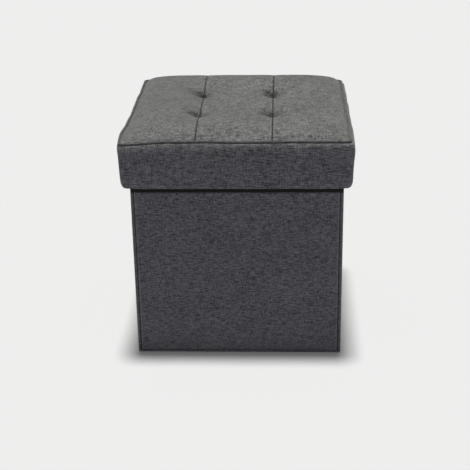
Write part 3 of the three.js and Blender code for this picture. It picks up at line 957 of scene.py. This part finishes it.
def hinge_fabric(name, body_a, body_b, middle, along, outward, reach_a, reach_b, seed):
    """Linen and lining that run over a fold: from body a's wall to body b's, outside, over
    the upper edge and down the inside. middle is on the outer face at the fold."""
    middle, along, outward = (np.array(v, float) for v in (middle, along, outward))
    columns = np.linspace(-reach_a, reach_b, 15)
    over = rim_profile()[1:-1]
    levels = np.linspace(WALL_BOTTOM, over[0, 1] - 2 * MM, 24)
    rows = np.concatenate([np.column_stack([0 * levels, levels]), over,
                           np.column_stack([0 * levels + WALL, levels[::-1]])])
    groove = 0.8 * MM * np.exp(-(columns / (0.8 * MM)) ** 2)
    inside = np.sign(rows[:, 0] - WALL / 2) * (np.abs(rows[:, 1] - WALL_TOP) > 5 * MM)
    depth = rows[None, :, 0] - groove[:, None] * inside[None, :]
    points = (middle + columns[:, None, None] * along - depth[..., None] * outward)
    points[..., 2] = rows[None, :, 1]
    run = run_along(rows)
    flip = np.dot(np.cross(along, [0, 0, 1.0]), outward) < 0
    last_outer = len(levels) + len(over)
    made = grid_piece(name, points, columns, run, [WALL_LINEN, LINING], seed=seed, flip=flip,
                      face_slot=lambda u, v: (v >= last_outer).astype(int))
    thicken(made, 0.45 * MM)
    if body_b is None:
        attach(made, body_a)
    else:
        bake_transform(made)
    return made


def corner_roll(end, side, body):
    """The padded welt down a vertical corner, drawn in section and swept upward."""
    sign_x = -1 if side == "left" else 1
    sign_y = -1 if end == "front" else 1
    width, depth = BODY_X - INNER_X - 0.3 * MM, BODY_Y - ROLL_Y - 0.3 * MM
    centre = np.array([BODY_X - width / 2, BODY_Y - depth / 2])
    angles = np.linspace(0, 2 * math.pi, 41)[:-1]
    cos, sin = np.cos(angles), np.sin(angles)
    squared = 2 / 3.6           # between a round (1) and a square (0) section
    shape = np.column_stack([np.sign(cos) * np.abs(cos) ** squared * width / 2,
                             np.sign(sin) * np.abs(sin) ** squared * depth / 2])
    outer = np.clip(cos, 0, 1) * np.clip(sin, 0, 1)
    shape = shape * (1 - 0.2 * outer[:, None])
    levels = cloth_lines(WALL_BOTTOM, WALL_TOP - 0.2 * MM, 9 * MM)
    wobble = 1 + 0.02 * ripples(seed_of(end, side), 6, 25 * MM, 80 * MM)(levels, 0 * levels)
    from_end = np.minimum(levels - WALL_BOTTOM, WALL_TOP - levels)
    taper = 1 - 0.22 * np.clip(1 - from_end / (3.5 * MM), 0, 1) ** 2
    section = (centre + shape[None] * (wobble * taper)[:, None, None]) * [sign_x, sign_y]
    points = np.concatenate([section, np.broadcast_to(levels[:, None, None],
                                                      (*section.shape[:2], 1))], -1)
    around = np.linspace(0, 2 * (width + depth), 41)
    faces, line_u, line_v = grid_faces(len(levels), 40, False, True)
    shift = np.array([0.3, 0.2, seed_of(end, side) * 0.1])
    places = np.stack([around[line_v], levels[line_u], 0.0 * line_u], -1) + shift
    faces, places = faces.tolist(), places.reshape(-1, 3).tolist()
    mirrored = sign_x * sign_y < 0
    if not mirrored:
        faces = [face[::-1] for face in faces]
    last = (len(levels) - 1) * 40
    for ring in (range(40), range(last, last + 40)):
        ring = list(ring)
        if (ring[0] == 0) == mirrored:
            ring = ring[::-1]
        faces.append(ring)
        places += [points.reshape(-1, 3)[v].tolist() for v in ring]
    made = piece(f"corner_welt_{end}_{side}", points.reshape(-1, 3), faces, places,
                 [WALL_LINEN], shade_and_wear=np.tile(outer * 1.6, len(levels)))
    settle(made, body, "outer_linen", f"corner_roll_{end}_{side}")
    return made


def seed_of(end, side):
    return 60 + 2 * (end == "rear") + (side == "right")


def walls():
    for number, segment in enumerate(segments()):
        wall(*segment, seed=70 + number)
    for end, body in (("front", "front_wall"), ("rear", "root")):
        for side in ("left", "right"):
            corner_roll(end, side, body)
    at_crease = (HINGE_REACH, HINGE_REACH)
    at_corner = (0.1 * MM, HINGE_REACH + 0.3 * MM)
    for side, sign in (("left", -1), ("right", 1)):
        hinge_fabric(f"{side}_crease_fabric", f"{side}_rear_half", f"{side}_front_half",
                     (sign * BODY_X, 0, 0), (0, -1, 0), (sign, 0, 0), *at_crease, 90)
        hinge_fabric(f"{side}_rear_corner_fabric", "root", f"{side}_rear_half",
                     (sign * BODY_X, ROLL_Y, 0), (0, -1, 0), (sign, 0, 0), *at_corner, 92)
    hinge_fabric("left_front_corner_fabric", "front_wall", "left_front_half",
                 (-BODY_X, -ROLL_Y, 0), (0, 1, 0), (-1, 0, 0), *at_corner, 94)
    hinge_fabric("right_front_corner_fabric", "right_front_half", None,      # the open pivot
                 (BODY_X, -ROLL_Y, 0), (0, 1, 0), (1, 0, 0), *at_corner, 96)


# ---------- the base


def bottom_tray():
    """The sewn bottom: a hem round the walls' feet that turns under into a flat sheet."""
    at, out, lengths = rounded_loop(BODY_X, BODY_Y, 4 * MM, 8 * MM, 6)
    hem = high("bottom_cover").z / MM
    rows = np.array([(-1.6, hem - 0.1), (-0.9, hem), (-0.25, hem - 0.4), (0, hem - 1.2),
                     (-0.05, 2.4), (-0.5, 1.1), (-1.4, 0.3), (-3, 0.02),
                     (-8, 0.0), (-40, 0.0), (-90, 0.0), (-140, 0.0)]) * MM
    points = np.concatenate([
        at[:, None, :] + out[:, None, :] * rows[None, :, 0:1],
        np.broadcast_to(rows[None, :, 1:2], (len(at), len(rows), 1))], -1)
    flat = rows[:, 0] < -7 * MM
    shrink = (BODY_X + rows[:, 0]) / BODY_X
    points[:, flat, :2] = at[:, None, :] * shrink[flat][None, :, None]
    count = len(at)
    faces, _, _ = grid_faces(count, len(rows), True, False)
    faces = faces[:, ::-1].tolist()
    faces.append([k * len(rows) + len(rows) - 1 for k in range(count)][::-1])
    flat_points = points.reshape(-1, 3)
    run = run_along(rows)
    slots, places = [], []
    for number, face in enumerate(faces):
        is_sheet = number == len(faces) - 1 or face[0] % len(rows) > 6
        slots.append(1 if is_sheet else 0)
        column = number // (len(rows) - 1)
        for v in face:
            row = v % len(rows)
            step = 1 if v // len(rows) != column % count else 0
            if is_sheet:
                places.append(flat_points[v])
            else:
                places.append((lengths[column + step], -run[row], 0.0))
    # painted light: the hem's linen is paler, to make up for the shade it sits in at the floor
    made = piece("bottom_cover_fabric", flat_points, faces, places, [LINEN, BOTTOM], slots,
                 shade_and_wear=np.full(len(flat_points), 2.5))
    thicken(made, 0.7 * MM)
    return settle(made, "root", "bottom_fabric", "bottom_cover")


def base_board():
    """Lining sheet on the base board, with the recess cut out of its front edge."""
    lo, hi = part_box("base_board_lining")
    loop_hi = high("pull_loop")
    recess = loop_hi.x + 1 * MM
    back = loop_hi.y + 0.4 * MM
    xs = np.unique(np.concatenate([cloth_lines(lo.x, hi.x, 14 * MM), [-recess, recess]]))
    ys = np.unique(np.concatenate([cloth_lines(lo.y, hi.y, 14 * MM), [back]]))
    x, y = lattice(xs, ys)
    edge = np.minimum(np.minimum(x - lo.x, hi.x - x), np.minimum(y - lo.y, hi.y - y))
    z = hi.z - roll_depth(edge, 0.5 * MM, 0.05 * MM) - 0.08 * MM * (
        1 + ripples(110, 7, 60 * MM, 140 * MM)(x, y))
    points = np.stack([x, y, z], -1).reshape(-1, 3)
    faces, line_u, line_v = grid_faces(len(xs), len(ys), False, False)
    middle_x = (xs[line_u].min(1) + xs[line_u].max(1)) / 2
    middle_y = (ys[line_v].min(1) + ys[line_v].max(1)) / 2
    kept = ~((np.abs(middle_x) < recess) & (middle_y < back))
    faces = faces[kept]
    used, renumbered = np.unique(faces, return_inverse=True)
    faces = renumbered.reshape(faces.shape)
    points = points[used]
    places = points[faces.ravel()]
    made = piece("base_board_cover", points, faces.tolist(), places, [LINING])
    thicken(made, 0.5 * MM)
    settle(made, "base_board", "lining_nonwoven", "base_board_lining")


def pull_loop():
    """A flattened loop of grosgrain ribbon in the base board's front edge."""
    lo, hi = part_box("pull_loop")
    radius = (hi.z - lo.z) / 2 - 0.1 * MM
    middle_z = (hi.z + lo.z) / 2
    turn = np.linspace(-math.pi / 2, math.pi / 2, 9)
    front = [(lo.y + radius - radius * math.cos(a), middle_z - radius * math.sin(a))
             for a in turn]
    rear = [(hi.y - radius + radius * math.cos(a), middle_z + radius * math.sin(a))
            for a in turn]
    side = np.linspace(0, 1, 12)[1:-1]
    lower = [(front[-1][0] + (rear[0][0] - front[-1][0]) * s,
              lo.z + 0.1 * MM + 0.35 * MM * math.sin(math.pi * s)) for s in side]
    upper = [(rear[-1][0] + (front[0][0] - rear[-1][0]) * s,
              hi.z - 0.1 * MM - 0.5 * MM * math.sin(math.pi * s)) for s in side]
    outline = np.array(front + lower + rear + upper)
    xs = cloth_lines(lo.x, hi.x, 3 * MM, rolls=(0, 0.4, 1.2))
    points = np.zeros((len(xs), len(outline), 3))
    points[..., 0] = xs[:, None]
    points[..., 1:] = outline[None]
    run = run_along(np.concatenate([outline, outline[:1]]))
    made = grid_piece("pull_loop_ribbon", points, xs, run, [RIBBON], wrap_v=True, seed=120)
    thicken(made, 0.55 * MM, offset=0)
    return settle(made, "base_board", "black_ribbon", "pull_loop")


def hinge_strip():
    """The strip that joins the base board's rear edge to the bottom, slightly gathered."""
    lo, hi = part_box("base_hinge_strip")
    made = panel("base_hinge_cloth", (lo.x, lo.y, hi.z), (1, 0, 0), (0, 1, 0), (0, 0, 1),
                 hi.x - lo.x, hi.y - lo.y, LINING, 130, step=5 * MM, wave=0.3 * MM,
                 radius=0.6 * MM, tuck=0.6 * MM, thickness=0.6 * MM)
    return settle(made, "root", "lining_nonwoven", "base_hinge_strip")


# ---------- boards, stage, camera


def paint_boards():
    for name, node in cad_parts.items():
        if name.endswith("_board") or name.startswith("lid_rail"):
            node.data.materials.clear()
            node.data.materials.append(FIBREBOARD if name.endswith("_board") else RAIL_WOOD)


FLOOR_GLOW = 0.11         # the floor's own share of its brightness, as on a light table


def stage():
    mesh = bpy.data.meshes.new("floor")
    half = 15.0
    mesh.from_pydata([(-half, -half, 0), (half, -half, 0), (half, half, 0), (-half, half, 0)],
                     [], [(0, 1, 2, 3)])
    floor = add_object("floor", mesh)
    floor.location.z = -0.2 * MM
    nodes = Nodes("pale_floor")
    nodes.shader.inputs["Specular IOR Level"].default_value = 0.0
    nodes.shader.inputs["Emission Color"].default_value = (0.855, 0.855, 0.848, 1)
    nodes.shader.inputs["Emission Strength"].default_value = FLOOR_GLOW
    dimmed = tuple(c * (1 - FLOOR_GLOW) for c in (0.513, 0.497, 0.579))
    mesh.materials.append(nodes.finish((*dimmed, 1), 1.0))

    world = bpy.data.worlds.new("studio")
    world.use_nodes = True
    tree = world.node_tree
    split = tree.nodes.new("ShaderNodeSeparateXYZ")
    tree.links.new(tree.nodes.new("ShaderNodeTexCoord").outputs["Generated"], split.inputs[0])
    level = tree.nodes.new("ShaderNodeMapRange")
    brightest, dimmest, low_glow = 0.85, 0.10, 0.11      # a bright strip along the horizon
    for socket, value in zip(level.inputs[1:5], (0.0, low_glow, brightest, dimmest)):
        socket.default_value = value
    tree.links.new(split.outputs[2], level.inputs[0])
    tree.links.new(level.outputs[0], tree.nodes["Background"].inputs["Strength"])
    tree.nodes["Background"].inputs["Color"].default_value = (1, 1, 1, 1)
    bpy.context.scene.world = world
    overhead_light()


def overhead_light():
    """A wide soft source far above: it lights the whole floor evenly."""
    direction = Vector((0, 0.04, 1))
    light = bpy.data.lights.new("overhead", "SUN")
    light.energy = 5.0
    light.angle = math.radians(8)
    light.color = (0.985, 1.018, 0.86)
    lamp = add_object("overhead", light)
    lamp.location = direction.normalized() * 4
    lamp.rotation_euler = (-direction).to_track_quat("-Z", "Y").to_euler()


def camera():
    """Stands a little to the right, looks 23 degrees down and very slightly rolled."""
    pitch, yaw, roll = (math.radians(a) for a in (23.0, -2.58, -0.97))
    ahead = Vector((math.sin(yaw) * math.cos(pitch), math.cos(yaw) * math.cos(pitch),
                    -math.sin(pitch)))
    level = Vector((math.cos(yaw), -math.sin(yaw), 0))
    above = level.cross(ahead)
    right = level * math.cos(roll) + above * math.sin(roll)
    up = above * math.cos(roll) - level * math.sin(roll)
    data = bpy.data.cameras.new("camera")
    data.sensor_width = 36
    data.lens = 88.2
    made = add_object("camera", data)
    place = Vector((0.0767, -1.9641, 0.9836))
    made.matrix_world = Matrix((
        (right.x, up.x, -ahead.x, place.x), (right.y, up.y, -ahead.y, place.y),
        (right.z, up.z, -ahead.z, place.z), (0, 0, 0, 1)))
    bpy.context.scene.camera = made


# ---------- putting it together

top_panel("left", -TOP_X, SEAM_LEFT, "left")
top_panel("centre", SEAM_LEFT, SEAM_RIGHT, "centre")
top_panel("right", SEAM_RIGHT, TOP_X, "right")
foam_pad()
for tuft_end in ("front", "rear"):
    for tuft_side in ("left", "right"):
        tuft_thread(tuft_end, tuft_side)
piping()
band()
lid_lining()
walls()
bottom_tray()
base_board()
pull_loop()
hinge_strip()
paint_boards()
stage()
camera()
bpy.context.scene.view_settings.view_transform = "Standard"
